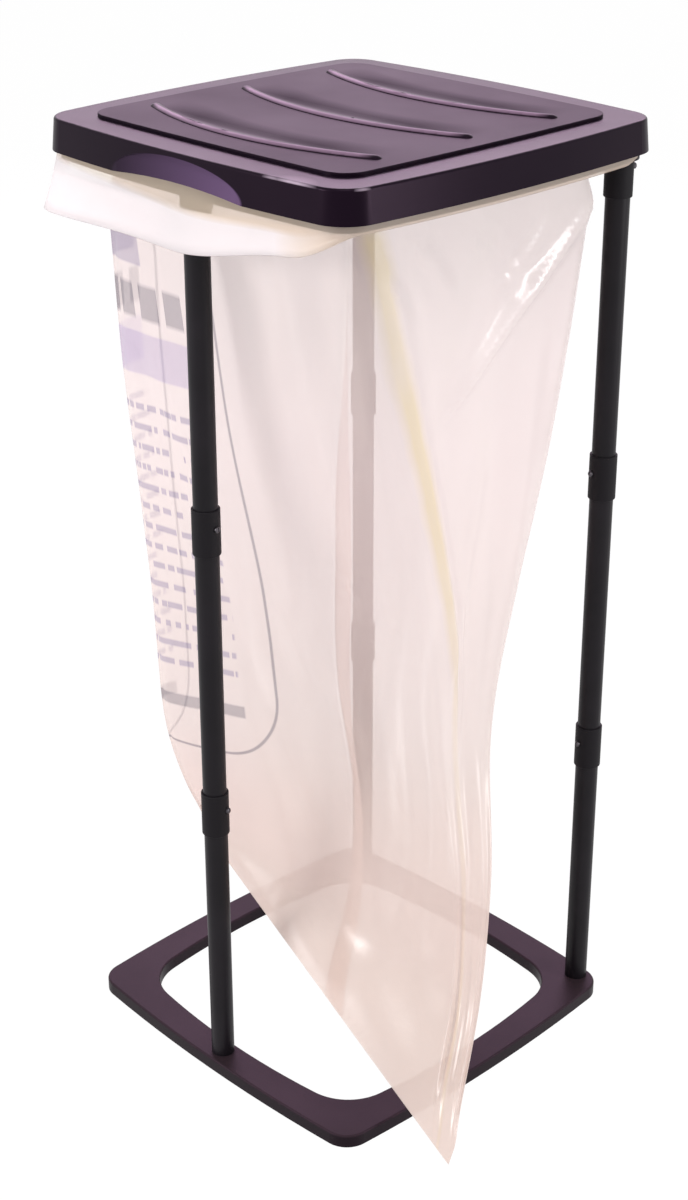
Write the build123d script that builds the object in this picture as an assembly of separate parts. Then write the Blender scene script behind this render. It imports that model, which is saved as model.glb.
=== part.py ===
from build123d import *
import math
import os

# Free-standing bin bag holder: a square base ring, three sectional tube legs, a square
# top frame that the bag's rim folds over, and a hinged moulded lid. Millimetres, +Z up,
# origin on the floor under the middle of the stand, the finger scoop towards -Y.

# Stand, seen from above: every ring and the lid follow this half width
stand_half = 180.0       # half a side of the top frame, between the ends of its curve
stand_bow = 9.5          # how far the middle of a side swells past its ends

# Legs: one at the middle of the front, two at the rear corners
front_leg_inset = 6.5    # leg's axis inside the frame's half width
rear_leg_inset_x = 23.0
rear_leg_inset_y = 9.0
tube_diameter = 22.0
tube_wall = 1.0
tube_length = 280.5
segments = 3

# Collars that join the leg sections
collar_wall = 1.7
collar_length = 43.0
collar_web = 1.5
collar_web_bore = 12.0
slip_gap = 0.05          # radial, tube in collar
screw_rise = 3.6         # screw centre above the web
screw_shank = 2.9
screw_head = 5.6
screw_head_height = 2.6
screw_head_chamfer = 1.0
screw_slot_width = 0.9
screw_slot_depth = 0.8
screw_grip = 3.2         # how far the shank reaches past the tube's wall

# Base ring, moulded, open underneath
base_reach = 2.0         # base is wider than the frame by this much on every side
base_bow = 9.0
base_corner = 25.0
base_height = 13.0
base_width = 35.0        # of the ring, at the ends of its sides
hole_bow = 13.0
hole_corner = 50.0
base_wall = 2.4
base_edge_round = 2.0
base_rib_pitch = 40.0
base_rib = 1.6
base_rib_lift = 3.0      # ribs stop this far above the floor
seat_floor = 2.0         # leg ends stand on this
seat_boss_wall = 2.0
peg_height = 34.0
peg_wall = 2.0
peg_gap = 0.15

# Top frame, an inverted channel
frame_corner = 24.0
frame_height = 23.0
frame_width = 30.0
frame_inner_corner = 26.0
frame_wall = 2.2
frame_edge_round = 0.8
frame_rib_pitch = 45.0
stub_length = 37.0       # from the top collar's web to the frame's top
notch_gap = 0.4

# Lid
lid_reach = 4.5          # skirt's upper edge is wider than the frame by this much
lid_corner = 30.0
lid_wall = 2.5
skirt_height = 28.0
skirt_flare = 2.5        # the skirt widens this much towards its lower edge
lid_edge_round = 2.2
panel_margin = 26.5      # flat border round the raised panel
panel_bow = 3.0
panel_corner = 24.0
panel_rise = 3.0
panel_round = 0.8
lid_seat_gap = 0.3
lid_rib = 1.8
lid_rib_height = 4.5
lid_rib_pitch = 76.0
lid_rib_count = 4        # each way
lid_overlap = 16.0       # the skirt hangs this far below the frame's top

# Modelling allowances
cut = 1.0                # a cutter passes the faces it opens by this much
root = 1.0               # a rib or barrel reaches this far into what carries it

# Crescent ridges on the panel
ridge_count = 3
ridge_pitch = 104.0
ridge_middle_y = 2.0     # where the ends of the middle ridge lie
ridge_margin = 24.0      # from a ridge's end to the panel's edge
ridge_bow = 27.0         # front arc
ridge_back_bow = 3.0     # rear arc
ridge_height = 2.6
ridge_tail = 0.25        # height left at the rear arc
ridge_bead = 6.0         # radius of the rounded front edge
gate_mark = (26.0, -22.0)
gate_mark_diameter = 3.0
gate_mark_depth = 0.7

# Finger scoop in the front skirt
scoop_half_width = 80.0
scoop_height = 24.0
scoop_depth = 2.3        # at the top of the arch
scoop_tilt = 6.6         # degrees that its floor leans back, a little more than the skirt
scoop_hollow = 4200.0    # radius of the floor, side to side
scoop_wall = 1.5
scoop_lift = 4.0         # the skirt's lower edge rises this much under the scoop

# Lid hinge
hinge_spacing = 200.0    # between the two hinges
hinge_pin = 4.0
hinge_pin_gap = 0.06     # radial, pin in the lid's barrel
hinge_barrel = 9.0
hinge_drop = 5.2         # axis below the skirt's lower edge
hinge_wall_gap = 0.9     # barrel to the frame's rear wall
barrel_length = 16.0
lug_length = 7.0
hinge_side_gap = 0.4
lid_neck_offset = 0.9    # neck that joins a barrel to the skirt, behind the pin's axis
pin_head = 6.6
pin_head_length = 1.6
lug_web = 6.0

# Bag, with its rim folded outwards over the frame
film = 0.8               # modelled wall
film_gap = 0.3
hem_rear = 12.0          # fold at the rear, below the frame's top
hem_side = 24.0          # fold on the left and right
hem_front = 66.0         # fold on the front
hem_front_right = 48.0   # fold where the front meets the right side
hem_run = 20.0           # length along a side over which the fold's depth changes
throat_depth = 26.0
seam_thickness = 3.0
seam_bow = 0.4
seam_corner = 0.3


def bowed_square(half, bow, corner):
    """Face with four outward-curved sides and round corners, centred on the origin."""
    with BuildSketch() as sketch:
        with BuildLine():
            ThreePointArc((-half, -half), (0, -half - bow), (half, -half))
            ThreePointArc((half, -half), (half + bow, 0), (half, half))
            ThreePointArc((half, half), (0, half + bow), (-half, half))
            ThreePointArc((-half, half), (-half - bow, 0), (-half, -half))
        make_face()
        fillet(sketch.vertices(), corner)
    return sketch.face()


def bowed_block(half, bow, corner, low, high, spread=0.0):
    """Block between two heights; spread widens its lower end on every side."""
    top = Pos(0, 0, high) * bowed_square(half, bow, corner)
    if spread == 0.0:
        return extrude(Pos(0, 0, low) * bowed_square(half, bow, corner), high - low)
    bottom = Pos(0, 0, low) * bowed_square(half + spread, bow, corner + spread)
    return Solid(loft([bottom, top]).wrapped)


def column(radius, low, high, at=(0.0, 0.0)):
    return Pos(at[0], at[1], (low + high) / 2) * Cylinder(radius, high - low)


def edges_at(shape, height):
    return shape.edges().filter_by(lambda e: abs(e.bounding_box().min.Z - height) < 0.01
                                   and abs(e.bounding_box().max.Z - height) < 0.01)


# Heights and places that follow from the sizes above
frame_half = stand_half
frame_bow = stand_bow
base_half = stand_half + base_reach
hole_half = base_half - base_width
lid_half = stand_half + lid_reach
lid_bow = stand_bow
panel_half = lid_half - panel_margin
ridge_half_length = panel_half - ridge_margin
segment_pitch = tube_length + collar_web
top_web = seat_floor + segments * segment_pitch
frame_top = top_web + stub_length
frame_bottom = frame_top - frame_height
film_top = frame_top + film_gap + film
lid_seat = film_top + lid_seat_gap
skirt_bottom = frame_top - lid_overlap
lid_top = skirt_bottom + skirt_height
panel_top = lid_top + panel_rise
collar_radius = tube_diameter / 2 + slip_gap + collar_wall
collar_half = collar_length / 2
legs = {
    "front": (0.0, front_leg_inset - stand_half),
    "rear_right": (stand_half - rear_leg_inset_x, stand_half - rear_leg_inset_y),
    "rear_left": (rear_leg_inset_x - stand_half, stand_half - rear_leg_inset_y),
}
levels = ("lower", "middle", "upper")
screw_turn = {
    "front": (20.0, 5.0, 20.0),
    "rear_right": (-100.0, -105.0, 60.0),
    "rear_left": (180.0, 165.0, 190.0),
}
frame_inner = frame_half - frame_width
frame_wall_rear = frame_half + frame_bow * (1 - (hinge_spacing / 2 / frame_half) ** 2)
hinge_y = frame_wall_rear + hinge_wall_gap + hinge_barrel / 2
hinge_z = skirt_bottom - hinge_drop
nodes = {}


def web_height(level):
    """Underside of the collar's web at the top of a leg section."""
    return seat_floor + (level + 1) * segment_pitch - collar_web


def tube(name, level):
    x, y = legs[name]
    low = seat_floor + level * segment_pitch
    high = low + tube_length
    body = column(tube_diameter / 2, low, high, (x, y))
    body -= column(tube_diameter / 2 - tube_wall, low - cut, high + cut, (x, y))
    if level > 0:
        body -= screw_hole(name, level - 1)
    return body


def screw_hole(name, level):
    """Clearance hole for the screw through one collar."""
    x, y = legs[name]
    height = web_height(level) + collar_web + screw_rise
    radius = screw_shank / 2 + slip_gap
    drill = Pos(collar_radius, 0, 0) * Rot(0, 90, 0) * Cylinder(radius, 2 * collar_radius)
    return Pos(x, y, height) * Rot(0, 0, screw_turn[name][level]) * drill


def collar(name, level):
    x, y = legs[name]
    web = web_height(level)
    middle = web + collar_web / 2
    low, high = middle - collar_half, middle + collar_half
    body = column(collar_radius, low, high, (x, y))
    body = chamfer(edges_at(body, low) + edges_at(body, high), 0.5)
    socket = tube_diameter / 2 + slip_gap
    body -= column(socket, low - cut, web, (x, y))
    body -= column(socket, web + collar_web, high + cut, (x, y))
    body -= column(collar_web_bore / 2, web - cut, web + collar_web + cut, (x, y))
    return body - screw_hole(name, level)


def screw(name, level):
    x, y = legs[name]
    height = web_height(level) + collar_web + screw_rise
    inner = tube_diameter / 2 - tube_wall - screw_grip
    shank = Pos((inner + collar_radius) / 2, 0, 0) * Rot(0, 90, 0)
    shank *= Cylinder(screw_shank / 2, collar_radius - inner)
    head = Pos(collar_radius + screw_head_height / 2, 0, 0) * Rot(0, 90, 0)
    head *= Cylinder(screw_head / 2, screw_head_height)
    rim = head.faces().sort_by(Axis.X)[-1].edges()
    head = chamfer(rim, screw_head_chamfer)
    slot = Pos(collar_radius + screw_head_height, 0, 0)
    slot *= Box(screw_slot_depth * 2, screw_slot_width, screw_head)
    seat = column(collar_radius, -screw_head, screw_head)
    body = shank + (head - seat) - slot
    return Pos(x, y, height) * Rot(0, 0, screw_turn[name][level]) * body


def ring_ribs(outer, bow, inner, pitch, thickness, low, high):
    """Ribs square to each side of a ring, evenly spaced along it."""
    ribs = []
    count = int(inner // pitch)
    depth = outer + 2 * bow - inner + 2 * thickness
    middle = (outer + bow + inner) / 2
    for turn in range(4):
        for step in range(-count, count + 1):
            block = Pos(step * pitch, middle, (low + high) / 2)
            block *= Box(thickness, depth, high - low)
            ribs.append(Rot(0, 0, 90 * turn) * block)
    return ribs


def base_ring():
    body = bowed_block(base_half, base_bow, base_corner, 0, base_height)
    body -= bowed_block(hole_half, hole_bow, hole_corner, -cut, base_height + cut)
    body = fillet(edges_at(body, base_height), base_edge_round)
    channel = bowed_block(base_half - base_wall, base_bow, base_corner - base_wall,
                          -cut, base_height - base_wall)
    channel -= bowed_block(hole_half + base_wall, hole_bow, hole_corner + base_wall,
                           -2 * cut, base_height)
    body -= channel
    ribs = ring_ribs(base_half, base_bow, hole_half, base_rib_pitch, base_rib,
                     base_rib_lift, base_height - base_wall / 2)
    body += [rib & channel for rib in ribs]
    boss = tube_diameter / 2 + slip_gap + seat_boss_wall
    peg = tube_diameter / 2 - tube_wall - peg_gap
    outline = bowed_block(base_half, base_bow, base_corner, 0, base_height - base_edge_round)
    for place in legs.values():
        body += column(boss, 0, base_height - base_wall / 2, place) & outline
    for place in legs.values():
        body -= column(tube_diameter / 2 + slip_gap, seat_floor, base_height + cut, place)
    for place in legs.values():
        post = column(peg, seat_floor / 2, seat_floor + peg_height, place)
        post = chamfer(edges_at(post, seat_floor + peg_height), 1.0)
        body += post
        body -= column(peg - peg_wall, seat_floor, seat_floor + peg_height + cut, place)
    return body


def hinge_places():
    return (-hinge_spacing / 2, hinge_spacing / 2)


def lug_spans():
    """Start and end along X of each frame lug, either side of the lid's barrels."""
    spans = []
    for middle in hinge_places():
        inner = barrel_length / 2 + hinge_side_gap
        spans.append((middle - inner - lug_length, middle - inner))
        spans.append((middle + inner, middle + inner + lug_length))
    return spans


def rod(radius, start, end):
    """Round bar along X on the hinge axis."""
    bar = Rot(0, 90, 0) * Cylinder(radius, end - start)
    return Pos((start + end) / 2, hinge_y, hinge_z) * bar


def top_frame():
    body = bowed_block(frame_half, frame_bow, frame_corner, frame_bottom, frame_top)
    body -= bowed_block(frame_inner, frame_bow, frame_inner_corner, frame_bottom - cut, frame_top + cut)
    body = fillet(edges_at(body, frame_top), frame_edge_round)
    channel = bowed_block(frame_half - frame_wall, frame_bow, frame_corner - frame_wall,
                          frame_bottom - cut, frame_top - frame_wall)
    channel -= bowed_block(frame_inner + frame_wall, frame_bow, frame_inner_corner + frame_wall,
                           frame_bottom - 2 * cut, frame_top)
    body -= channel
    ribs = ring_ribs(frame_half, frame_bow, frame_inner, frame_rib_pitch, frame_wall,
                     frame_bottom + frame_height / 2, frame_top - frame_wall / 2)
    body += [rib & channel for rib in ribs]
    stub = tube_diameter / 2
    collar_top = top_web - collar_web / 2 + collar_half
    for place in legs.values():
        body += column(stub, top_web, frame_top - frame_wall / 2, place)
        body -= (column(collar_radius + notch_gap, frame_bottom - cut, collar_top + notch_gap, place)
                 - column(stub + slip_gap / 2, top_web - cut, frame_top, place))
        body -= column(stub - frame_wall, top_web - cut, frame_top - frame_wall, place)
    for name in legs:
        body -= screw_hole(name, segments - 1)
    for start, end in lug_spans():
        body += rod(hinge_barrel / 2, start, end)
        arm = Pos((start + end) / 2, hinge_y - hinge_barrel / 2, hinge_z)
        body += arm * Box(end - start, hinge_barrel, lug_web)
    for middle in hinge_places():
        reach = barrel_length / 2 + hinge_side_gap + lug_length + cut
        body -= rod(hinge_pin / 2, middle - reach, middle + reach)
    return body


def hinge_pin_at(middle):
    reach = barrel_length / 2 + hinge_side_gap + lug_length
    outer = math.copysign(reach + pin_head_length / 2, middle)
    body = rod(hinge_pin / 2, middle - reach, middle + reach)
    head = rod(pin_head / 2, middle + outer - pin_head_length / 2,
               middle + outer + pin_head_length / 2)
    return body + head


def ridge(index):
    """One crescent: a rounded bead along its front arc, fading to the panel behind it."""
    half = ridge_half_length
    ends_y = ridge_middle_y + (index - (ridge_count - 1) / 2) * ridge_pitch
    crest = ends_y - ridge_bow
    with BuildSketch() as outline:
        with BuildLine():
            ThreePointArc((-half, ends_y), (0, crest), (half, ends_y))
            ThreePointArc((half, ends_y), (0, ends_y - ridge_back_bow), (-half, ends_y))
        make_face()
    low = panel_top - panel_rise / 2
    high = panel_top + ridge_height
    block = extrude(Pos(0, 0, low) * outline.face(), high - low)
    profile = Polyline((crest - cut, low - cut), (crest - cut, high), (crest, high),
                       (ends_y, panel_top + ridge_tail), (ends_y, low - cut), close=True)
    wedge = extrude(Plane.YZ * make_face(profile), half + cut, both=True)
    sunk = high - ridge_bead
    line = Pos(0, 0, sunk) * ThreePointArc((-half, ends_y), (0, crest), (half, ends_y))
    bead = sweep((line ^ 0) * Circle(ridge_bead), path=line)
    bead += Pos(-half, ends_y, sunk) * Sphere(ridge_bead)
    bead += Pos(half, ends_y, sunk) * Sphere(ridge_bead)
    keep = Pos(0, 0, (low + high) / 2 + cut) * Box(3 * half, 3 * half, high - low + 2 * cut)
    return (block & wedge) + (bead & keep)


def ridge_mark_height():
    """Height above the panel of the middle ridge's slope, where the gate mark is."""
    ends_y = ridge_middle_y
    share = (gate_mark[1] - (ends_y - ridge_bow)) / ridge_bow
    return ridge_height + (ridge_tail - ridge_height) * share


def scoop(inset):
    """Arched recess in the front skirt; inset carries its floor inwards for the wall behind."""
    face = -(lid_half + lid_bow)
    centre = Pos(0, face + scoop_depth + inset, skirt_bottom + scoop_height)
    floor = centre * Rot(-scoop_tilt, 0, 0) * Pos(0, -scoop_hollow, 0)
    floor *= Cylinder(scoop_hollow, 4 * scoop_height)
    arch = Plane.XZ * Ellipse(scoop_half_width + inset, scoop_height + inset)
    reach = extrude(Pos(0, face, skirt_bottom) * arch, 4 * lid_wall, both=True)
    return reach & floor


def finger_cut():
    """Shallow arc that raises the skirt's lower edge under the scoop."""
    face = -(lid_half + lid_bow)
    half = scoop_half_width
    with BuildSketch(Plane.XZ) as outline:
        with BuildLine():
            ThreePointArc((-half, skirt_bottom), (0, skirt_bottom + scoop_lift),
                          (half, skirt_bottom))
            Polyline((half, skirt_bottom), (half, skirt_bottom - cut), (-half, skirt_bottom - cut),
                     (-half, skirt_bottom))
        make_face()
    return extrude(Pos(0, face, 0) * outline.sketch, 3 * lid_wall, both=True)


def lid_outer():
    body = bowed_block(lid_half, lid_bow, lid_corner, skirt_bottom, lid_top, skirt_flare)
    body = fillet(edges_at(body, lid_top), lid_edge_round)
    panel = bowed_block(panel_half, panel_bow, panel_corner, lid_top - lid_wall / 2, panel_top)
    body += fillet(edges_at(panel, panel_top), panel_round)
    return body


def lid():
    outer = lid_outer()
    inner = bowed_block(lid_half - lid_wall, lid_bow, lid_corner - lid_wall,
                        skirt_bottom, lid_top - lid_wall, skirt_flare)
    rise = bowed_block(panel_half - lid_wall, panel_bow, panel_corner - lid_wall,
                       lid_top - lid_wall - cut, panel_top - lid_wall)
    body = (outer - scoop(0)) - (inner - scoop(scoop_wall)) - rise
    body -= finger_cut()
    seat_rib = bowed_block(frame_half - frame_width / 2, frame_bow, frame_corner,
                           lid_seat, lid_top - lid_wall / 2)
    seat_rib -= bowed_block(frame_half - frame_width / 2 - lid_rib, frame_bow,
                            frame_corner - lid_rib, lid_seat - cut, lid_top)
    body += seat_rib
    span = 2 * (panel_half - lid_wall)
    under = panel_top - lid_wall
    lift = under - lid_rib_height / 2 + root / 2
    for index in range(lid_rib_count):
        offset_across = (index - (lid_rib_count - 1) / 2) * lid_rib_pitch
        body += Pos(offset_across, 0, lift) * Box(lid_rib, span, lid_rib_height + root)
        body += Pos(0, offset_across, lift) * Box(span, lid_rib, lid_rib_height + root)
    for index in range(ridge_count):
        body += ridge(index)
    mark = Cylinder(gate_mark_diameter / 2, 2 * gate_mark_depth)
    body -= Pos(gate_mark[0], gate_mark[1], panel_top + ridge_mark_height()) * mark
    for middle in hinge_places():
        start, end = middle - barrel_length / 2, middle + barrel_length / 2
        body += rod(hinge_barrel / 2, start, end)
        neck_low = hinge_z
        neck_high = skirt_bottom + lid_wall
        neck_y = hinge_y + lid_neck_offset
        neck = Pos(middle, neck_y, (neck_low + neck_high) / 2)
        body += neck * Box(barrel_length, lid_wall, neck_high - neck_low)
    for middle in hinge_places():
        start, end = middle - barrel_length / 2 - cut, middle + barrel_length / 2 + cut
        body -= rod(hinge_pin / 2 + hinge_pin_gap, start, end)
    return body


# Cross-sections of the bag below the frame, from the top down. Each is a four-cornered
# outline: its left end and its right end as (x, y, share of that end's fall), depth before
# and behind the line between them, how far the front corner stands towards the right end
# (0 in the middle, 1 at the end), then bow of its sides and corner radius. x, y and the
# depths are in half widths of the throat, the last two in millimetres.
throat_half = frame_inner - film_gap
throat_low = frame_top - throat_depth
seam_left_place = (-0.648, -0.715)
seam_left_height = 192.0     # above the floor
seam_tip_place = (1.717, -0.875)
seam_tip_height = 9.5
seam_lean = 0.84
bag_shape = [
    ((-0.982, -0.982, 0.093), (0.962, 0.962, 0.073), 1.280, 1.336, 0.07, 8.0, 24.0),
    ((-0.955, -0.955, 0.313), (0.875, 0.875, 0.246), 1.050, 1.202, 0.22, 8.0, 18.0),
    ((-0.882, -0.895, 0.598), (0.748, 0.748, 0.470), 0.720, 0.935, 0.50, 7.0, 12.0),
    ((-0.802, -0.882, 0.808), (0.842, 0.414, 0.642), 0.360, 0.601, 0.74, 5.0, 8.0),
    ((-0.728, -0.795, 0.919), (1.222, 0.033, 0.776), 0.160, 0.334, 0.82, 3.0, 5.0),
    ((-0.675, -0.735, 0.969), (1.430, -0.281, 0.898), 0.070, 0.134, 0.84, 1.5, 2.5),
    ((-0.655, -0.720, 0.992), (1.648, -0.727, 0.976), 0.024, 0.038, 0.84, 0.6, 1.5),
]
bag_away = (-0.70, 0.71, 0.0)    # the direction that each section's depth follows


def bag_end(place, fall, low):
    height = throat_low - fall * (throat_low - low)
    return (place[0] * throat_half, place[1] * throat_half, height)


def bag_place(left, right, front, behind, lean, bow, corner):
    """Outline of one section in millimetres."""
    return (bag_end(left, left[2], seam_left_height), bag_end(right, right[2], seam_tip_height),
            front * throat_half, behind * throat_half, lean, bow, corner)


def corner_offset(before, corner, after, distance):
    """Corner of the outline that lies the distance inside both sides that meet there."""
    back = (before - corner).normalized()
    on = (after - corner).normalized()
    return (back + on) * (distance / abs(back.cross(on).Z))


def bag_section(left, right, front, behind, lean, bow, corner, inset=0.0):
    across = Vector(*right) - Vector(*left)
    middle = (Vector(*left) + Vector(*right)) * 0.5
    away = Vector(*bag_away)
    away = (away - across * (away.dot(across) / across.dot(across))).normalized()
    plane = Plane(origin=middle, x_dir=across, z_dir=across.cross(away))
    reach = across.length / 2
    ends = [Vector(-reach, 0), Vector(lean * reach, -front), Vector(reach, 0), Vector(0, behind)]
    for place, side in ((0, -1), (2, 1)):
        into = corner_offset(ends[place - 1], ends[place], ends[(place + 1) % 4], corner)
        ends[place] += Vector(side * (into.length - corner), 0)
    inner = [ends[k] + corner_offset(ends[k - 1], ends[k], ends[(k + 1) % 4], inset) for k in range(4)]
    with BuildSketch(plane) as sketch:
        with BuildLine():
            for start, end in zip(inner, inner[1:] + inner[:1]):
                chord = end - start
                swell = (start + end) * 0.5 + Vector(chord.Y, -chord.X).normalized() * bow
                ThreePointArc((start.X, start.Y), (swell.X, swell.Y), (end.X, end.Y))
        make_face()
        fillet(sketch.vertices(), corner - inset)
    return sketch.sketch.face()


def throat_section(inset):
    """Where the bag leaves the frame's inner wall."""
    outline = bowed_square(throat_half - inset, frame_bow, frame_inner_corner - inset)
    return Pos(0, 0, throat_low) * outline


def bag_body():
    """Thin wall from the frame's inner edge down to the slanted bottom seam."""
    half = seam_thickness / 2
    left = bag_end(seam_left_place, 1.0, seam_left_height)
    tip = bag_end(seam_tip_place, 1.0, seam_tip_height)
    seam = bag_section(left, tip, half, half, seam_lean, seam_bow, seam_corner)
    places = [bag_place(*values) for values in bag_shape]
    outer = [throat_section(0.0)] + [bag_section(*place) for place in places] + [seam]
    inner = [throat_section(film)] + [bag_section(*place, film) for place in places]
    return loft(outer, ruled=True) - loft(inner, ruled=True)


def bag_rim():
    """Rim turned outwards over the frame, with a longer fold at the front."""
    low = frame_top - hem_front
    throat = bowed_block(throat_half, frame_bow, frame_inner_corner, throat_low, film_top)
    throat -= bowed_block(throat_half - film, frame_bow, frame_inner_corner - film,
                          throat_low - cut, film_top + cut)
    outside = frame_half + film_gap
    outside_corner = frame_corner + film_gap
    fold = bowed_block(outside + film, frame_bow, outside_corner + film, low, film_top)
    fold -= bowed_block(outside, frame_bow, outside_corner, low - cut, film_top - film)
    fold -= bowed_block(throat_half, frame_bow, frame_inner_corner, low - cut, film_top + cut)
    reach = outside + frame_bow + film + cut
    side = frame_top - hem_side
    rear = frame_top - hem_rear
    turn = frame_half - frame_corner
    sides = Polyline((reach, rear), (turn + film, rear), (turn - hem_run, side),
                     (-turn + hem_run, side), (-turn, low), (-turn, low - cut),
                     (reach, low - cut), close=True)
    front = Polyline((-reach, low - cut), (-reach, low), (turn - hem_run, frame_top - hem_front_right),
                     (turn, side), (reach, side), (reach, low - cut), close=True)
    fold -= extrude(Plane.YZ * make_face(sides), reach, both=True)
    fold -= extrude(Plane.XZ * make_face(front), reach, both=True)
    return throat + fold


def bag():
    return bag_body() + bag_rim()


nodes["base_ring"] = base_ring()
nodes["top_frame"] = top_frame()
nodes["lid"] = lid()
for name in legs:
    for level, word in enumerate(levels):
        nodes[f"{name}_{word}_tube"] = tube(name, level)
        nodes[f"{name}_{word}_collar"] = collar(name, level)
        nodes[f"{name}_{word}_screw"] = screw(name, level)
nodes["left_hinge_pin"] = hinge_pin_at(-hinge_spacing / 2)
nodes["right_hinge_pin"] = hinge_pin_at(hinge_spacing / 2)
nodes["bin_bag"] = bag()

os.makedirs("parts", exist_ok=True)
for node, shape in nodes.items():
    export_step(shape, f"parts/{node}.step")
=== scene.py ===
import math
from functools import partial
import bpy
import numpy as np
from mathutils import Matrix, Vector, noise


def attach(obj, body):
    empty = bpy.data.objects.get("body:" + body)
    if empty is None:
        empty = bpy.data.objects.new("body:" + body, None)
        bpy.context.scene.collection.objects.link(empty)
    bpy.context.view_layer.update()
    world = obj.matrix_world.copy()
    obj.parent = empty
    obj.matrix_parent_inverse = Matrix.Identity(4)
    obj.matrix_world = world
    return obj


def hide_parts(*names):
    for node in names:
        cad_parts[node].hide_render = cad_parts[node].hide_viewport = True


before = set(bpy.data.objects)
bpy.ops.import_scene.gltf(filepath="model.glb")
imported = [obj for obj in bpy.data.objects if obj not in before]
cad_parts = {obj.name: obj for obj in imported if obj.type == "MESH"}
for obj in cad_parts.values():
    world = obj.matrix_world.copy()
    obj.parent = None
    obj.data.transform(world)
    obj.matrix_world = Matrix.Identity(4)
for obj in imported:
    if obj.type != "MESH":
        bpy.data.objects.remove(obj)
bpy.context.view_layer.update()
print("stage: frame loaded,", len(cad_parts), "pieces")


# Colours and nodes
def hexColour(code):
    parts = [int(code[i:i + 2], 16) / 255 for i in (1, 3, 5)]
    return tuple(c / 12.92 if c <= 0.04045 else ((c + 0.055) / 1.055) ** 2.4 for c in parts) + (1.0,)


def addNode(owner, kind, links=None, **settings):
    # settings with a leading underscore go to the node itself, the others to its inputs
    node = owner.node_tree.nodes.new(kind)
    for name, value in settings.items():
        if name.startswith("_"):
            setattr(node, name[1:], value)
        else:
            node.inputs[name.replace("_", " ")].default_value = value
    for name, source in (links or {}).items():
        owner.node_tree.links.new(source, node.inputs[name])
    return node


def newMaterial(name):
    material = bpy.data.materials.new(name)
    material.use_nodes = True
    material.node_tree.nodes.clear()
    return material


def finish(material, shader):
    addNode(material, "ShaderNodeOutputMaterial", {"Surface": shader.outputs[0]})
    return material


def ramp(material, source, stops):
    node = addNode(material, "ShaderNodeValToRGB", {"Fac": source})
    for element, (place, code) in zip(node.color_ramp.elements, stops):
        element.position = place
        element.color = hexColour(code)
    return node.outputs["Color"]


def mathNode(owner, kind, *values):
    node = addNode(owner, "ShaderNodeMath", _operation=kind)
    for slot, value in enumerate(values):
        if isinstance(value, (int, float)):
            node.inputs[slot].default_value = value
        else:
            owner.node_tree.links.new(value, node.inputs[slot])
    return node.outputs[0]


def mapRange(material, value, low, high, start=0.0, end=1.0):
    # start where value is low, end where it is high
    node = addNode(material, "ShaderNodeMapRange", {"Value": value})
    for name, number in (("From Min", low), ("From Max", high), ("To Min", start), ("To Max", end)):
        node.inputs[name].default_value = number
    return node.outputs["Result"]


def blendColour(material, base, mask, code, strength=1.0):
    mix = addNode(material, "ShaderNodeMix", _data_type="RGBA")
    factor, first, second = mix.inputs[0], mix.inputs[6], mix.inputs[7]
    material.node_tree.links.new(mathNode(material, "MULTIPLY", mask, strength), factor)
    if isinstance(base, str):
        first.default_value = hexColour(base)
    else:
        material.node_tree.links.new(base, first)
    second.default_value = hexColour(code)
    return mix.outputs[2]


def nodeTools(material):
    # the two node functions used most, for one material
    return partial(mathNode, material), partial(mapRange, material)


# Moulded polypropylene and nylon, coloured through: slow flow of two tones, and a fine grain.
# Lengths in metres; smoother and rougher are how far the roughness strays with the flow.
moulding = {"flowSize": 0.12, "flowTones": (0.20, 0.80), "flowSpread": (0.1, 0.9),
            "smoother": 0.05, "rougher": 0.07, "grainSize": 0.0006, "grainDepth": 0.0002}
lidLook = {"colour": "#0f0812", "tint": "#150c16", "roughness": 0.30, "grain": 0.12,
           "shine": 0.085, "sheen": "#f0c0ea"}
baseLook = {"colour": "#33282d", "tint": "#2a2126", "roughness": 0.42, "grain": 0.25,
            "shine": 0.13, "sheen": "#f0c0ea"}
frameLook = {"colour": "#1d161c", "tint": "#1d161c", "roughness": 0.45, "grain": 0.25,
             "shine": 0.14, "sheen": "#ffffff"}
collarLook = {"colour": "#151216", "tint": "#151216", "roughness": 0.55, "grain": 0.5,
              "shine": 0.14, "sheen": "#ffffff"}

# Painted shade: the base ring's upright walls are painted darker than its top, in place of the top
# catching more light; the change lies between two heights
baseWallShade = {"colour": "#171114", "high": 0.0124, "low": 0.0106}

# The lid's panel has a spark-eroded grain and its ridges' crests are rubbed smooth
panel = {"low": 0.8981, "high": 0.8987, "rougher": 0.15}
crest = {"low": 0.9005, "high": 0.9019, "rougher": -0.15}
# The finger scoop is half an ellipse on the front; its colour is painted light, paler than the skirt,
# dimmest at its left end and palest towards its right end
scoopLight = {"colour": "#5f4a69", "half": 0.080, "low": 0.869, "high": 0.024, "face": -0.1885,
         "edge": (1.04, 0.96), "reach": 0.9, "dim": 0.10}
# Crescent ridges: coarser grain in the hollow behind each one, and a pale line painted along its front as
# a highlight.
# The hollow's distances lie behind a ridge's front arc, the painted highlight line lies in front of it.
ridges = {"half": 0.134, "middle": 0.002, "pitch": 0.104, "bow": 0.027,
          "grain": 0.22, "hollowNear": (0.001, 0.009), "hollowFar": (0.044, 0.016),
          "hollowEnds": 0.060,
          "highlightColour": "#8b7187", "highlightShare": 0.85, "highlightLine": 0.0024, "highlightWidth": (0.0030, 0.0012),
          "highlightEnds": 0.012, "highlightFoot": (0.9003, 0.9009)}
# Painted glints: pale patches on the lid's rounded top edge, near its front corner: x, y and reach
glintSpots = [(0.134, -0.198, 0.026), (0.112, -0.199, 0.014), (0.191, -0.168, 0.010)]
glintPaint = {"colour": "#c3b0c2", "share": 0.8, "height": 0.89601, "outer": 0.00132, "inner": 0.00044,
             "core": 0.4}


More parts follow.
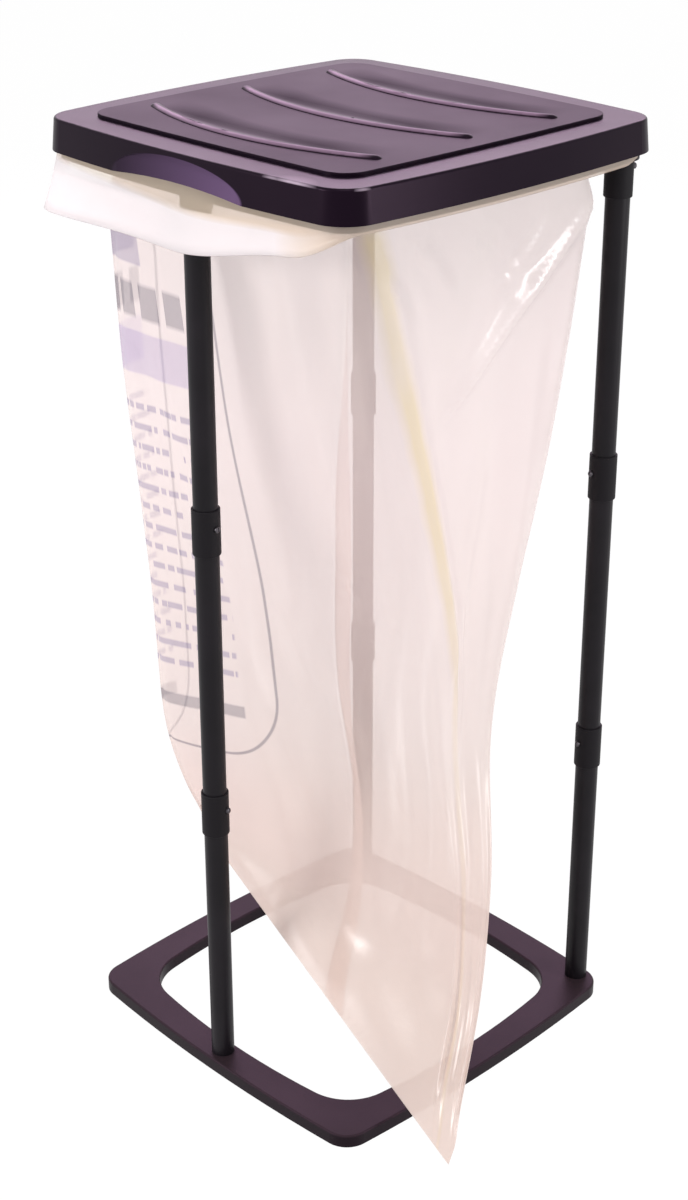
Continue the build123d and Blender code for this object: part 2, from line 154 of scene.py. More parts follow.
def behindRidge(material, axes):
    # distance behind the nearest ridge's front arc, negative in front of it
    calc = partial(mathNode, material)
    share = calc("DIVIDE", axes["X"], ridges["half"])
    arc = calc("MULTIPLY_ADD", calc("MULTIPLY", share, share), -ridges["bow"],
               ridges["bow"] - ridges["middle"])
    turns = calc("MULTIPLY_ADD", calc("ADD", axes["Y"], arc), 1 / ridges["pitch"], 0.5)
    return calc("MULTIPLY", calc("SUBTRACT", calc("FRACT", turns), 0.5), ridges["pitch"])


def ridgeEnds(material, axes, soft):
    off = mathNode(material, "ABSOLUTE", axes["X"])
    return mapRange(material, off, ridges["half"], ridges["half"] - soft)


# where the scoop's painted light lies, brighter towards the right
def scoopLightMask(material, axes):
    calc, spread = nodeTools(material)
    across = calc("DIVIDE", axes["X"], scoopLight["half"])
    up = calc("DIVIDE", calc("SUBTRACT", axes["Z"], scoopLight["low"]), scoopLight["high"])
    arch = calc("ADD", calc("MULTIPLY", across, across), calc("MULTIPLY", up, up))
    inside = calc("MULTIPLY", spread(arch, *scoopLight["edge"]), calc("LESS_THAN", axes["Y"], scoopLight["face"]))
    return calc("MULTIPLY", inside, spread(across, -scoopLight["reach"], scoopLight["reach"], scoopLight["dim"], 1.0))


# where the painted glints lie: a band along the rounded top edge, close to each spot
def glintMask(material, axes):
    calc, spread = nodeTools(material)
    level = calc("ABSOLUTE", calc("SUBTRACT", axes["Z"], glintPaint["height"]))
    band = spread(level, glintPaint["outer"], glintPaint["inner"])
    near = 0.0
    for x, y, reach in glintSpots:
        dx, dy = calc("SUBTRACT", axes["X"], x), calc("SUBTRACT", axes["Y"], y)
        far = calc("SQRT", calc("MULTIPLY_ADD", dx, dx, calc("MULTIPLY", dy, dy)))
        near = calc("MAXIMUM", spread(far, reach, glintPaint["core"] * reach), near)
    return calc("MULTIPLY", band, near)


def markLid(material, axes, surface, rough):
    calc, spread = nodeTools(material)
    tint = partial(blendColour, material)
    onPanel = spread(axes["Z"], panel["low"], panel["high"])
    onCrest = spread(axes["Z"], crest["low"], crest["high"])
    rough = calc("ADD", rough, calc("MULTIPLY", onPanel, panel["rougher"]))
    rough = calc("ADD", rough, calc("MULTIPLY", onCrest, crest["rougher"]))
    # painted light on the finger scoop
    surface = tint(surface, scoopLightMask(material, axes), scoopLight["colour"])
    behind = behindRidge(material, axes)
    hollow = calc("MULTIPLY", spread(behind, *ridges["hollowNear"]), spread(behind, *ridges["hollowFar"]))
    hollow = calc("MULTIPLY", calc("MULTIPLY", hollow, onPanel),
                  ridgeEnds(material, axes, ridges["hollowEnds"]))
    rough = calc("MULTIPLY_ADD", hollow, ridges["grain"], rough)
    # painted highlight: a pale line along the front of each ridge
    line = spread(calc("ABSOLUTE", calc("ADD", behind, ridges["highlightLine"])), *ridges["highlightWidth"])
    ridgeHighlight = calc("MULTIPLY", line, spread(axes["Z"], *ridges["highlightFoot"]))
    ridgeHighlight = calc("MULTIPLY", ridgeHighlight, ridgeEnds(material, axes, ridges["highlightEnds"]))
    surface = tint(surface, ridgeHighlight, ridges["highlightColour"], ridges["highlightShare"])
    # painted glints near the lid's front corner
    surface = tint(surface, glintMask(material, axes), glintPaint["colour"], glintPaint["share"])
    return surface, rough


def shadeBaseWalls(material, axes, surface, rough):
    # painted shade on the upright walls, below the top
    wallShade = mapRange(material, axes["Z"], baseWallShade["high"], baseWallShade["low"])
    return blendColour(material, surface, wallShade, baseWallShade["colour"]), rough


def mouldedPlastic(name, look, marks=None):
    material = newMaterial(name)
    place = addNode(material, "ShaderNodeTexCoord").outputs["Object"]
    flow = addNode(material, "ShaderNodeTexNoise", {"Vector": place},
                   Scale=1 / moulding["flowSize"], Detail=3.0, Roughness=0.5).outputs["Fac"]
    surface = ramp(material, flow, zip(moulding["flowTones"], (look["colour"], look["tint"])))
    rough = mapRange(material, flow, *moulding["flowSpread"],
                     look["roughness"] - moulding["smoother"], look["roughness"] + moulding["rougher"])
    if marks:
        axes = addNode(material, "ShaderNodeSeparateXYZ", {"Vector": place}).outputs
        surface, rough = marks(material, axes, surface, rough)
    grain = addNode(material, "ShaderNodeTexNoise", {"Vector": place},
                    Scale=1 / moulding["grainSize"], Detail=2.0, Roughness=0.6)
    bump = addNode(material, "ShaderNodeBump", {"Height": grain.outputs["Fac"]},
                   Strength=look["grain"], Distance=moulding["grainDepth"])
    skin = addNode(material, "ShaderNodeBsdfPrincipled",
                   {"Base Color": surface, "Roughness": rough, "Normal": bump.outputs["Normal"]},
                   Specular_IOR_Level=look["shine"], Specular_Tint=hexColour(look["sheen"]))
    return finish(material, skin)


# Powder coat on drawn steel tube: fine orange peel, semi-gloss black, a little dusty in clouds
powderCoat = {"colour": "#151216", "dust": "#1c181d", "dustTones": (0.4, 0.72), "cloudScale": 18.0,
              "roughness": 0.40, "shine": 0.16, "peelSize": 0.0012, "peel": 0.35, "peelDepth": 0.0002}


def powderCoatedSteel():
    material = newMaterial("powderCoatedSteel")
    place = addNode(material, "ShaderNodeTexCoord").outputs["Object"]
    peel = addNode(material, "ShaderNodeTexNoise", {"Vector": place},
                   Scale=1 / powderCoat["peelSize"], Detail=2.0)
    cloud = addNode(material, "ShaderNodeTexNoise", {"Vector": place},
                    Scale=powderCoat["cloudScale"], Detail=4.0)
    shade = ramp(material, cloud.outputs["Fac"],
                 zip(powderCoat["dustTones"], (powderCoat["colour"], powderCoat["dust"])))
    bump = addNode(material, "ShaderNodeBump", {"Height": peel.outputs["Fac"]},
                   Strength=powderCoat["peel"], Distance=powderCoat["peelDepth"])
    coat = addNode(material, "ShaderNodeBsdfPrincipled",
                   {"Base Color": shade, "Normal": bump.outputs["Normal"]},
                   Roughness=powderCoat["roughness"], Specular_IOR_Level=powderCoat["shine"])
    return finish(material, coat)


# Blackened steel screws and drawn steel pins: fine tool marks roughen their shine
steel = {"screw": "#5b575c", "screwRoughness": 0.42, "pin": "#b9b7b5", "pinRoughness": 0.3,
         "markScale": 900.0, "mark": 0.3, "markDepth": 0.0001}


def drawnSteel(name, code, roughness):
    material = newMaterial(name)
    place = addNode(material, "ShaderNodeTexCoord").outputs["Object"]
    marks = addNode(material, "ShaderNodeTexNoise", {"Vector": place},
                    Scale=steel["markScale"], Detail=1.0)
    bump = addNode(material, "ShaderNodeBump", {"Height": marks.outputs["Fac"]},
                   Strength=steel["mark"], Distance=steel["markDepth"])
    metal = addNode(material, "ShaderNodeBsdfPrincipled", {"Normal": bump.outputs["Normal"]},
                    Base_Color=hexColour(code), Metallic=1.0, Roughness=roughness)
    return finish(material, metal)


dressing = {
    "lid": mouldedPlastic("mouldedPolypropyleneLid", lidLook, markLid),
    "base_ring": mouldedPlastic("mouldedPolypropyleneBase", baseLook, shadeBaseWalls),
    "top_frame": mouldedPlastic("mouldedPolypropyleneFrame", frameLook),
    "_collar": mouldedPlastic("mouldedNylonCollar", collarLook),
    "_tube": powderCoatedSteel(),
    "_screw": drawnSteel("blackenedSteelScrew", steel["screw"], steel["screwRoughness"]),
    "_pin": drawnSteel("drawnSteelPin", steel["pin"], steel["pinRoughness"]),
}
for node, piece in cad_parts.items():
    for ending, material in dressing.items():
        if node.endswith(ending):
            piece.data.materials.clear()
            piece.data.materials.append(material)
print("stage: plastics, paint and steel on the frame")


# Bag film: thin polyethylene over the top frame, drawn down to a slanting bottom seam.
# Lengths in metres. Each station: left end, right end, front and rear depth of the
# flattening outline, how far its front corner stands to the right, how round its corners
# are, and the bow of its sides.
bag = {
    "frameTop": 0.885, "outside": 0.1807, "inside": 0.1493, "bow": 0.0095,
    "outerRound": 0.0244, "innerRound": 0.026, "throat": 0.026,
    "stations": [
        ((-0.1493, -0.1493, 0.859), (0.1493, 0.1493, 0.859), 0.2095, 0.2095, 0.00, 0.026, 0.0095),
        ((-0.1470, -0.1470, 0.797), (0.1440, 0.1440, 0.797), 0.1916, 0.2000, 0.07, 0.024, 0.0080),
        ((-0.1430, -0.1430, 0.650), (0.1310, 0.1310, 0.650), 0.1572, 0.1800, 0.22, 0.018, 0.0080),
        ((-0.1320, -0.1340, 0.460), (0.1120, 0.1120, 0.460), 0.1078, 0.1400, 0.50, 0.012, 0.0070),
        ((-0.1200, -0.1320, 0.320), (0.1260, 0.0620, 0.314), 0.0539, 0.0900, 0.74, 0.008, 0.0050),
        ((-0.1090, -0.1190, 0.246), (0.1830, 0.0050, 0.200), 0.0240, 0.0500, 0.82, 0.005, 0.0030),
        ((-0.1010, -0.1100, 0.213), (0.2140, -0.0420, 0.096), 0.0105, 0.0200, 0.84, 0.003, 0.0015),
        ((-0.0980, -0.1078, 0.1973), (0.2530, -0.1110, 0.0290), 0.0036, 0.0057, 0.84, 0.0015, 0.0006),
        ((-0.0970, -0.1070, 0.192), (0.2676, -0.1317, 0.0040), 0.0008, 0.0008, 0.84, 0.0003, 0.0003),
    ],
    "thinnest": 0.0003, "away": (-0.70, 0.71, 0.0), "push": 0.5, "pushFrom": (0.0, 0.05),
    "gussetDepth": 0.115, "gussetFrom": (0.03, 0.4), "gussetShare": 0.8,
    "sideColumns": 66, "gussetColumns": 12, "rows": 150,
    "flat": (1.42, 0.92),
}

# The fold over the frame. Round counts the sides from the left corner, 0 to 4. It hangs to
# different depths, and each step passes into the next depth between two places. The cuff is
# turned up inside it. Gaps stand off the frame; the flare leans the lower edge outwards,
# least in the calm stretch.
hem = {
    "front": 0.066, "frontRight": 0.048, "side": 0.024, "rear": 0.012,
    "steps": [("frontRight", 0.50, 0.88), ("side", 0.84, 1.05), ("rear", 1.90, 2.02),
              ("side", 2.98, 3.10), ("front", 3.93, 4.0)],
    "cuff": 0.034, "cuffGap": 0.0016, "cuffLean": 0.55,
    "flare": 0.007, "cornerFlare": 0.009, "cornerReach": 0.16, "flareDepths": (0.03, 0.06),
    "waves": 14.0, "waveShare": 0.25, "calm": 0.85, "calmFrom": (0.50, 0.86), "calmTo": (3.85, 3.98),
    "turnUp": 0.001, "turnGap": 0.0002, "hemGap": 0.0006, "hemTop": 0.0016, "topGap": 0.0007,
    "flareCurve": 1.4,
}

# Folds of the film: from and to as (round, down), where down is the share of the drop; then
# width and height in metres. The facet is a broad fold with one flat flank.
bagFolds = [
    ((1.98, 0.020), (1.24, 0.245), 0.0200, -0.0080, "facet"),
    ((1.74, 0.03), (1.52, 0.10), 0.008, 0.0034),
    ((1.40, 0.02), (1.62, 0.12), 0.008, -0.0022),
    ((1.16, 0.02), (1.34, 0.10), 0.007, 0.0030),
    ((1.06, 0.03), (1.20, 0.12), 0.006, -0.0016),
    ((1.96, 0.020), (1.62, 0.110), 0.009, 0.0040),
    ((1.10, 0.01), (1.26, 0.62), 0.006, 0.0024),
    ((0.97, 0.05), (1.00, 0.40), 0.012, 0.0022),
    ((0.74, 0.03), (0.80, 0.55), 0.016, -0.0026),
    ((0.62, 0.02), (0.55, 0.30), 0.016, 0.0022),
    ((0.88, 0.42), (0.70, 0.62), 0.010, 0.0026),
    ((0.30, 0.02), (0.42, 0.50), 0.020, -0.0018),
    ((0.10, 0.20), (0.55, 0.86), 0.012, 0.0022),
    ((0.50, 0.50), (0.94, 0.88), 0.014, -0.0022),
    ((1.50, 0.30), (1.10, 0.60), 0.012, -0.0020),
    ((2.30, 0.03), (2.60, 0.50), 0.016, 0.0030),
    ((3.50, 0.03), (3.30, 0.60), 0.016, 0.0030),
]
# The facet's taper down its length, and its flat flank and steep side in widths
facet = {"wide": 1.15, "narrowing": 0.55, "limits": (0.5, 1.2), "flank": 1.15, "steep": 0.55}
# Crumpled patches: round, down, reach along the film and height
bagCrumples = [
    (0.80, 0.43, 0.030, 0.0032), (0.86, 0.50, 0.022, 0.0024), (1.27, 0.034, 0.020, 0.0044),
    (1.13, 0.082, 0.016, 0.0040), (1.47, 0.042, 0.015, 0.0044), (1.88, 0.04, 0.020, 0.0030),
    (0.70, 0.70, 0.022, 0.0018),
]
# Side and drop are the metres of one side and of the whole drop. The crumples' and the sway's
# scales belong to the noise. A wave is its height, turns round, turns down and start. The
# relief fades in below the top and out towards the seam.
relief = {
    "side": 0.28, "drop": 0.85, "foldBend": 0.006, "foldTurn": 3.1,
    "foldFrom": (-0.12, 0.12), "foldTo": (0.80, 1.12), "trough": 0.35, "troughPlace": 1.9,
    "tight": 0.85, "tightReach": 0.030,
    "waves": [(0.0016, 9.0, 2.4, 0.0), (0.0010, 21.0, -7.0, 1.7)],
    "crumpleRound": 30.0, "crumpleDown": 95.0, "crumplePatch": 7.0, "crumpleSharp": 2.6,
    "crumpleFaint": 0.02, "crumpleTight": 0.35,
    "swayRound": 3.4, "swayDown": 5.0, "swayHeight": 0.0034,
    "top": (0.0, 0.06), "seam": (0.93, 1.0),
}


def smoothCurve(knots, values, wanted):
    # smooth cubic through the knots, one curve for each column of values
    knots, values = np.asarray(knots, float), np.asarray(values, float)
    slopes = np.gradient(values, knots, axis=0)
    at = np.clip(np.searchsorted(knots, wanted, side="right") - 1, 0, len(knots) - 2)
    gap = (knots[at + 1] - knots[at])[:, None]
    t = ((wanted - knots[at])[:, None]) / gap
    a, b = values[at], values[at + 1]
    return (a * (1 + 2 * t) * (1 - t) ** 2 + b * t * t * (3 - 2 * t)
            + slopes[at] * gap * t * (1 - t) ** 2 - slopes[at + 1] * gap * t * t * (1 - t))


def easeIn(x, start, end):
    t = np.clip((x - start) / (end - start), 0, 1)
    return t * t * (3 - 2 * t)


def unit(vector):
    return vector / max(np.linalg.norm(vector), 1e-9)


def halfAngle(corners, k):
    one, two = unit(corners[k - 1] - corners[k]), unit(corners[(k + 1) % 4] - corners[k])
    return math.acos(max(-1.0, min(1.0, one.dot(two)))) / 2


def sideShares():
    return (np.arange(bag["sideColumns"]) + 0.5) / bag["sideColumns"]


def sideCurve(corners, side, bow, share):
    # a side of the outline swells outwards by its bow
    a, b = corners[side], corners[(side + 1) % 4]
    run = unit(b - a)
    normal = (a + b) / 2 - sum(corners) / 4
    normal = unit(normal - run * normal.dot(run))
    share = np.asarray(share)[..., None]
    return a + (b - a) * share + normal * bow * (1 - (2 * share - 1) ** 2)


def outlineRow(corners, roundness, bow):
    # the points along each side of a four-cornered outline, its corners rounded off
    most = 0.42                        # of a side's length that one rounded corner may take
    share = sideShares()
    lengths = [np.linalg.norm(corners[(k + 1) % 4] - corners[k]) for k in range(4)]
    edge = []
    for k in range(4):
        tangent = roundness / max(math.tan(halfAngle(corners, k)), 1e-6)
        edge.append(min(tangent, most * lengths[k], most * lengths[k - 1]))
    points = []
    for side in range(4):
        after = (side + 1) % 4
        first, last = edge[side] / max(lengths[side], 1e-9), edge[after] / max(lengths[side], 1e-9)
        row = sideCurve(corners, side, bow, share)
        before = sideCurve(corners, side - 1, bow, 1 - edge[side] / max(lengths[side - 1], 1e-9))
        onward = sideCurve(corners, after, bow, edge[after] / max(lengths[after], 1e-9))
        for t, inside, start, pivot, end in (
                (0.5 + 0.5 * share / first, share < first, before, corners[side],
                 sideCurve(corners, side, bow, first)),
                (0.5 * (share - 1 + last) / last, share > 1 - last,
                 sideCurve(corners, side, bow, 1 - last), corners[after], onward)):
            t = t[:, None]
            bend = start * (1 - t) ** 2 + pivot * 2 * t * (1 - t) + end * t * t
            row = np.where(inside[:, None], bend, row)
        points.append(row)
    return points


def squareCorners(half):
    return [np.array((x * half, y * half, 0.0)) for x, y in ((-1, -1), (1, -1), (1, 1), (-1, 1))]


def hemDepth(around):
    # how far the fold hangs down outside the frame
    depth = np.full(len(around), hem["front"])
    for name, start, end in hem["steps"]:
        depth = depth + (hem[name] - depth) * easeIn(around, start, end)
    return depth


def hemFlare(around, depth):
    # how far the fold's lower edge stands off: most at the left corner, in soft waves
    corner = np.exp(-(np.minimum(around, 4 - around) / hem["cornerReach"]) ** 2)
    flare = (hem["flare"] + hem["cornerFlare"] * corner) * easeIn(depth, *hem["flareDepths"])
    flare = flare * (1 + hem["waveShare"] * np.sin(around * hem["waves"]))
    beside = easeIn(around, *hem["calmFrom"]) * (1 - easeIn(around, *hem["calmTo"]))
    return flare * (1 - hem["calm"] * beside)


def topRows(around):
    # cuff turned up inside the hem, hem, over the frame, down to the throat
    profile = [("cuff", t) for t in (1.0, 0.75, 0.5, 0.25)] + [("turn", 0.0)]
    profile += [("hem", t) for t in (0.0, 0.15, 0.3, 0.45, 0.6, 0.75, 0.88)]
    profile += [("over", t) for t in (0.0, 0.5, 1.0)] + [("throat", t) for t in (0.12, 0.4, 0.7)]
    depth = hemDepth(around)
    low = bag["frameTop"] - depth
    flare = hemFlare(around, depth)
    rows = []
    for kind, t in profile:
        roundness, out = bag["outerRound"], 0 * depth
        if kind == "cuff":
            half, out = bag["outside"] - hem["cuffGap"], flare * (1 - hem["cuffLean"] * t)
            height = low + hem["cuff"] * depth / hem["front"] * t
        elif kind == "turn":
            half, out, height = bag["outside"] - hem["turnGap"], flare, low - hem["turnUp"]
        elif kind == "hem":
            half, out = bag["outside"] + hem["hemGap"], flare * (1 - t) ** hem["flareCurve"]
            height = low + (depth - hem["hemTop"]) * t
        elif kind == "over":
            half = bag["outside"] + (bag["inside"] - bag["outside"]) * t
            height = bag["frameTop"] + hem["topGap"]
            roundness = bag["innerRound"] if t == 1.0 else bag["outerRound"]
        else:
            half, roundness = bag["inside"], bag["innerRound"]
            height = bag["frameTop"] - bag["throat"] * t
        row = np.concatenate(outlineRow(squareCorners(half), roundness, bag["bow"]))
        radial = row / np.linalg.norm(row, axis=1, keepdims=True)
        row = row + radial * out[:, None]
        row[:, 2] = height
        rows.append(row)
    return rows


def gussetRow(points, corners, down):
    # spare film tucked inwards at the rear corner, as one more strip between two sides
    n = bag["gussetColumns"]
    step = (np.arange(n) + 1) / (n + 1)
    reach = 1 - abs(2 * step - 1)
    inwards = sum(corners) / 4 - corners[3]
    depth = min(bag["gussetDepth"] * easeIn(down, *bag["gussetFrom"]),
                bag["gussetShare"] * np.linalg.norm(inwards))
    start, end = points[2][-1], points[3][0]
    line = start + (end - start) * step[:, None]
    return line + unit(inwards) * (depth * reach)[:, None]


def stationCorners(value, down):
    # four corners of one level's outline; the side ones move out, as rounding takes them in
    left, right = value[0:3], value[3:6]
    front, behind, lean, roundness, bow = np.maximum(value[6:11], bag["thinnest"])
    across = right - left
    away = np.array(bag["away"])
    away = unit(away - across * away.dot(across) / across.dot(across))
    middle = (left + right) / 2
    corners = [left, middle + across / 2 * lean - away * front, right, middle + away * behind]
    ends = list(corners)
    for k, sign in ((0, -1), (2, 1)):
        half = halfAngle(corners, k)
        push = bag["push"] * roundness / max(math.tan(half), 0.05) * math.cos(half)
        ends[k] = corners[k] + unit(across) * sign * push * easeIn(down, *bag["pushFrom"])
    return ends, roundness, bow


def bagGrid():
    n, extra = bag["sideColumns"], bag["gussetColumns"]
    around = np.concatenate([side + sideShares() for side in range(4)])
    step = ((np.arange(extra) + 1) / (extra + 1))[:, None]
    rows = []
    for row in topRows(around):
        strip = row[3 * n - 1] + (row[3 * n] - row[3 * n - 1]) * step
        rows.append(np.concatenate([row[:3 * n], strip, row[3 * n:]]))
    stations = bag["stations"]
    knots = [0.0]
    for before, after in zip(stations, stations[1:]):
        knots.append(knots[-1] + (np.linalg.norm(np.subtract(after[0], before[0]))
                                  + np.linalg.norm(np.subtract(after[1], before[1]))) / 2)
    values = [list(s[0]) + list(s[1]) + list(s[2:]) for s in stations]
    wanted = np.linspace(0, knots[-1], bag["rows"])
    for down, value in zip(wanted / knots[-1], smoothCurve(knots, values, wanted)):
        ends, roundness, bow = stationCorners(value, down)
        points = outlineRow(ends, roundness, bow)
        rows.append(np.concatenate(points[:3] + [gussetRow(points, ends, down)] + points[3:]))
    around = np.concatenate([around[:3 * n], np.full(extra, 3.0), around[3 * n:]])
    return around, np.array(rows)


def foldPlace(around, down, fold):
    # share along one fold, and distance to one side of it
    (r0, d0), (r1, d1) = fold[:2]
    x, y = (around - r0) * relief["side"], (down - d0) * relief["drop"]
    dx, dy = (r1 - r0) * relief["side"], (d1 - d0) * relief["drop"]
    length = math.hypot(dx, dy)
    t = (x * dx + y * dy) / length ** 2
    bend = relief["foldBend"] * np.sin(t * relief["foldTurn"])
    return t, (x * dy - y * dx) / length - bend


def foldEnds(t):
    return easeIn(t, *relief["foldFrom"]) * (1 - easeIn(t, *relief["foldTo"]))


def foldHeight(around, down, fold):
    # height of one fold at each place of the film: rounded crest, fading at both ends
    width, height = fold[2:4]
    t, off = foldPlace(around, down, fold)
    crest = np.exp(-(off / width) ** 2)
    crest = crest - relief["trough"] * np.exp(-((off - relief["troughPlace"] * width) / width) ** 2)
    if fold[-1] == "facet":
        taper = np.clip(facet["wide"] - facet["narrowing"] * t, *facet["limits"])
        width, height = width * taper, height * taper
        rise = np.clip(off / (facet["flank"] * width) + 1, 0, 1)
        # a rounded foot for the first fifth, then straight up to 1
        rise = np.where(rise < 0.2, 2.5 * rise ** 2, 1.111 * rise - 0.122) / 0.989
        crest = np.where(off < 0, rise, np.exp(-(off / (facet["steep"] * width)) ** 2))
    return height * crest * foldEnds(t)


def crumple(height, around, down, calm):
    # sharp little creases inside each crumpled patch
    for r, d, reach, size in bagCrumples:
        far = ((around[None, :] - r) * relief["side"]) ** 2 + ((down - d) * relief["drop"]) ** 2
        mask = np.exp(-far / reach ** 2)
        for row, col in np.argwhere(mask > relief["crumpleFaint"]):
            spot = Vector((around[col] * relief["crumpleRound"], down[row, 0] * relief["crumpleDown"],
                           r * relief["crumplePatch"]))
            rise = size * (1 - relief["crumpleSharp"] * abs(noise.noise(spot)))
            loose = relief["crumpleTight"] + (1 - relief["crumpleTight"]) * calm[row, col]
            height[row, col] += mask[row, col] * rise * loose


def sway(height, around, down, calm):
    # soft, slow unevenness of the whole film
    for row in range(len(down)):
        for col, place in enumerate(around * math.pi / 2):
            spot = Vector((math.cos(place) * relief["swayRound"], math.sin(place) * relief["swayRound"],
                           down[row, 0] * relief["swayDown"]))
            height[row, col] += noise.noise(spot) * relief["swayHeight"] * calm[row, col]


def wrinkle(around, grid):
    # moves the hanging film along its normals, which point inwards; the gusset stays plain
    body = grid[len(grid) - bag["rows"]:]
    normals = np.cross(np.roll(body, -1, 1) - np.roll(body, 1, 1), np.gradient(body, axis=0))
    normals /= np.maximum(np.linalg.norm(normals, axis=2, keepdims=True), 1e-9)
    down = np.linspace(0, 1, bag["rows"])[:, None]
    ring = around[None, :]
    height = sum(foldHeight(ring, down, fold) for fold in bagFolds)
    # calm is low where the film is pulled tight along the facet
    t, off = foldPlace(ring, down, bagFolds[0])
    calm = 1 - relief["tight"] * foldEnds(t) * np.exp(-(off / relief["tightReach"]) ** 2)
    for size, turns, drops, start in relief["waves"]:
        height = height + size * calm * np.sin(ring * turns + drops * down + start)
    crumple(height, around, down, calm)
    sway(height, around, down, calm)
    free = easeIn(down, *relief["top"]) * (1 - easeIn(down, *relief["seam"])) * (ring != 3)
    body += normals * (height * free)[:, :, None]


def layFlat(mesh, around, grid):
    # flat pattern of the film in metres: round from the left corner, and down from the throat
    high, wide = grid.shape[:2]
    steps = np.linalg.norm(np.diff(grid, axis=0), axis=2).mean(axis=1)
    downwards = np.concatenate([[0.0], np.cumsum(steps)])
    downwards -= downwards[high - bag["rows"]]
    lap = around * bag["flat"][0] / 4
    lap = np.where(around > 3, lap - bag["flat"][0], lap)
    uv = mesh.uv_layers.new(name="film")
    for polygon in mesh.polygons:
        r, c = divmod(polygon.index, wide)
        torn = around[c] <= 3 and around[(c + 1) % wide] > 3       # the pattern's side edges meet here
        for loop, (dr, dc) in zip(polygon.loop_indices, ((0, 0), (1, 0), (1, 1), (0, 1))):
            u = lap[c] if torn else lap[(c + dc) % wide]
            uv.data[loop].uv = (u, -downwards[r + dr])


def buildBag():
    around, grid = bagGrid()
    wrinkle(around, grid)
    high, wide = grid.shape[:2]
    mesh = bpy.data.meshes.new("bag_film")
    faces = [(r * wide + c, (r + 1) * wide + c,
              (r + 1) * wide + (c + 1) % wide, r * wide + (c + 1) % wide)
             for r in range(high - 1) for c in range(wide)]
    mesh.from_pydata([tuple(p) for p in grid.reshape(-1, 3)], [], faces)
    mesh.update()
    layFlat(mesh, around, grid)
    piece = bpy.data.objects.new("bag_film", mesh)
    bpy.context.scene.collection.objects.link(piece)
    mesh.polygons.foreach_set("use_smooth", [True] * len(mesh.polygons))
    return piece


# Low-density polyethylene: milky, lets light through, folds shine. Open is the share that is
# clear; pairs are metres down the flat pattern, where 0 is the throat inside the frame.
film = {
    "colour": "#f6e8e4", "colourLow": "#efdfd7", "paler": (0.22, 0.62),
    # hem is white partly for its extra layers of film and partly as a painted highlight; shade is a
    # painted shadow of the lid
    "hem": "#fbf6f7", "shade": "#f6e2c9",
    "open": 0.50, "openLow": 0.26, "lower": (0.56, 0.70), "openHem": 0.10, "openShade": 0.42,
    "openInk": 0.12, "openCrease": 0.20,
    "roughness": 0.20, "roughLow": 0.268, "duller": (0.25, 0.60), "milk": 0.42, "shine": 1.0,
    "ink": "#8c7ea6", "inkDark": "#5d5266", "inkPale": "#b9a9cf",
    "crinkleScale": 70.0, "crinkle": 0.22, "crinkleDepth": 0.0010,
}
# The lay-flat crease down the front right: place across, its lean, half width, and wandering
crease = {"colour": "#ead9b0", "top": 0.377, "slope": 0.10, "width": 0.024, "core": 0.3,
          "wanderScale": 9.0, "wander": 0.030, "bottom": 0.86, "soft": 0.02,
          "patchy": (0.30, 0.60, 0.55, 1.0),
          "fades": (0.35, 0.58, 1.0, 0.35)}
# The fold over the frame: a cream painted shadow where the lid shades it, and a white painted highlight,
# on top of its extra layers, where it flares out below an edge; both fade round the corner, between two
# places across
folded = {"turn": (-0.050, -0.056), "edge": -0.0735, "edgeSlope": -0.030, "edgeSoft": 0.0015,
          "hemHighlightFade": (0.285, 0.345), "lidShadowFade": (0.28, 0.34, 1.0, 0.7)}
# The print is plain shapes: a tall thin outline, filled fields, rows of short bars.
# Fields: left, right, top, bottom in metres round and down, and ink
printFields = [
    (-0.050, 0.128, 0.150, 0.192, "inkPale"),
    (-0.045, 0.060, 0.050, 0.086, "ink"),
    (-0.050, 0.122, 0.520, 0.534, "inkDark"),
]
printRows = {"left": -0.050, "right": 0.118, "top": 0.215, "bottom": 0.500, "pitch": 0.0200,
             "letter": 0.0085, "low": 0.30, "high": 0.62}
printTitle = {"left": -0.050, "right": 0.125, "top": 0.098, "bottom": 0.142, "pitch": 0.0460,
              "letter": 0.0190, "low": 0.12, "high": 0.84}
printOutline = {"left": -0.075, "right": 0.162, "top": 0.020, "bottom": 0.585, "round": 0.080,
                "line": 0.0018, "soft": 0.0008}
printing = {"soft": 0.0012, "rowSoft": 0.05, "rowShift": 17.3, "gaps": 0.43,
            "fieldShare": 0.7, "barShare": 0.75, "outlineShare": 0.8}


def between(material, value, low, high, soft=printing["soft"]):
    calc, spread = nodeTools(material)
    mid, half = (low + high) / 2, (high - low) / 2
    return spread(calc("SUBTRACT", half, calc("ABSOLUTE", calc("SUBTRACT", value, mid))), -soft, soft)


def printField(material, across, down, left, right, top, bottom):
    return mathNode(material, "MULTIPLY", between(material, across, left, right),
                    between(material, down, top, bottom))


def printBars(material, across, down, rows):
    # each row is cut into bars and gaps by a noise that is shifted from row to row
    calc = partial(mathNode, material)
    line = calc("DIVIDE", calc("SUBTRACT", down, rows["top"]), rows["pitch"])
    spot = addNode(material, "ShaderNodeCombineXYZ",
                   {"X": calc("DIVIDE", across, rows["letter"]),
                    "Y": calc("MULTIPLY", calc("FLOOR", line), printing["rowShift"])})
    chance = addNode(material, "ShaderNodeTexNoise", {"Vector": spot.outputs[0]}, Scale=1.0, Detail=0.0)
    inked = calc("GREATER_THAN", chance.outputs["Fac"], printing["gaps"])
    tall = between(material, calc("FRACT", line), rows["low"], rows["high"], printing["rowSoft"])
    inside = printField(material, across, down, rows["left"], rows["right"], rows["top"], rows["bottom"])
    return calc("MULTIPLY", calc("MULTIPLY", inked, tall), inside)


